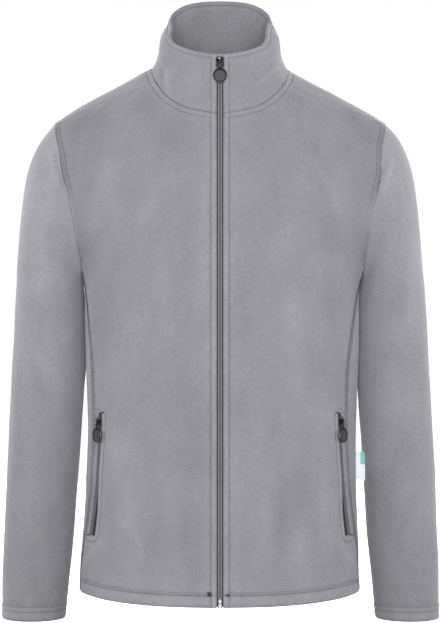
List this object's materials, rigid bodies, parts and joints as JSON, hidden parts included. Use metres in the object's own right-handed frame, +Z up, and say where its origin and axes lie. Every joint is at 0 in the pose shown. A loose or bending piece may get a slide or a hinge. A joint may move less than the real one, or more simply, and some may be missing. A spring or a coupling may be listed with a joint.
{
  "type": "fleece zip jacket",
  "caption": "Hollow fleece jacket with a stand collar, set-in sleeves, a full front zip and two zipped side pockets, filled out as worn.",
  "frame": {"origin": "middle of the neck at the height where the shoulders meet the collar, where the wearer holds it up", "axes": "front faces -Y, the wearer's left is +X, +Z up"},
  "size_m": [0.5768, 0.262, 0.8222],
  "materials": {
    "fleece": "soft brushed micro fleece",
    "zip_tape": "woven tape",
    "zip_coil": "nylon coil",
    "gunmetal": "dark plated",
    "zip_end": "satin",
    "woven_label": "woven satin"
  },
  "bodies": {
    "jacket": {"back": "fleece", "collar": "fleece", "front_left": "fleece", "front_right": "fleece", "pocket_chain_left": "zip_coil", "pocket_chain_right": "zip_coil", "pocket_slider_left": "gunmetal", "pocket_slider_right": "gunmetal", "pocket_tape_left": "zip_tape", "pocket_tape_right": "zip_tape", "side_label": "woven_label", "sleeve_left": "fleece", "sleeve_right": "fleece", "zip_box": "zip_end", "zip_chain": "zip_coil", "zip_slider": "gunmetal", "zip_tape_left": "zip_tape", "zip_tape_right": "zip_tape"},
    "zip_pull": {"zip_pull": "gunmetal"},
    "pocket_pull_left": {"pocket_pull_left": "gunmetal"},
    "pocket_pull_right": {"pocket_pull_right": "gunmetal"}
  },
  "joints": [
    {"name": "zip_pull_swing", "type": "hinge", "parent": "jacket", "child": "zip_pull", "pos_m": [0, -0.08429, 0.00377], "axis": [-1, 0, 0], "range_deg": [0, 150]},
    {"name": "pocket_pull_left_swing", "type": "hinge", "parent": "jacket", "child": "pocket_pull_left", "pos_m": [0.15669, -0.07926, -0.45529], "axis": [-0.6249, -0.7775, -0.0705], "range_deg": [-4, 145]},
    {"name": "pocket_pull_right_swing", "type": "hinge", "parent": "jacket", "child": "pocket_pull_right", "pos_m": [-0.15662, -0.0792, -0.45529], "axis": [-0.6249, 0.7775, 0.0705], "range_deg": [-4, 145]}
  ]
}
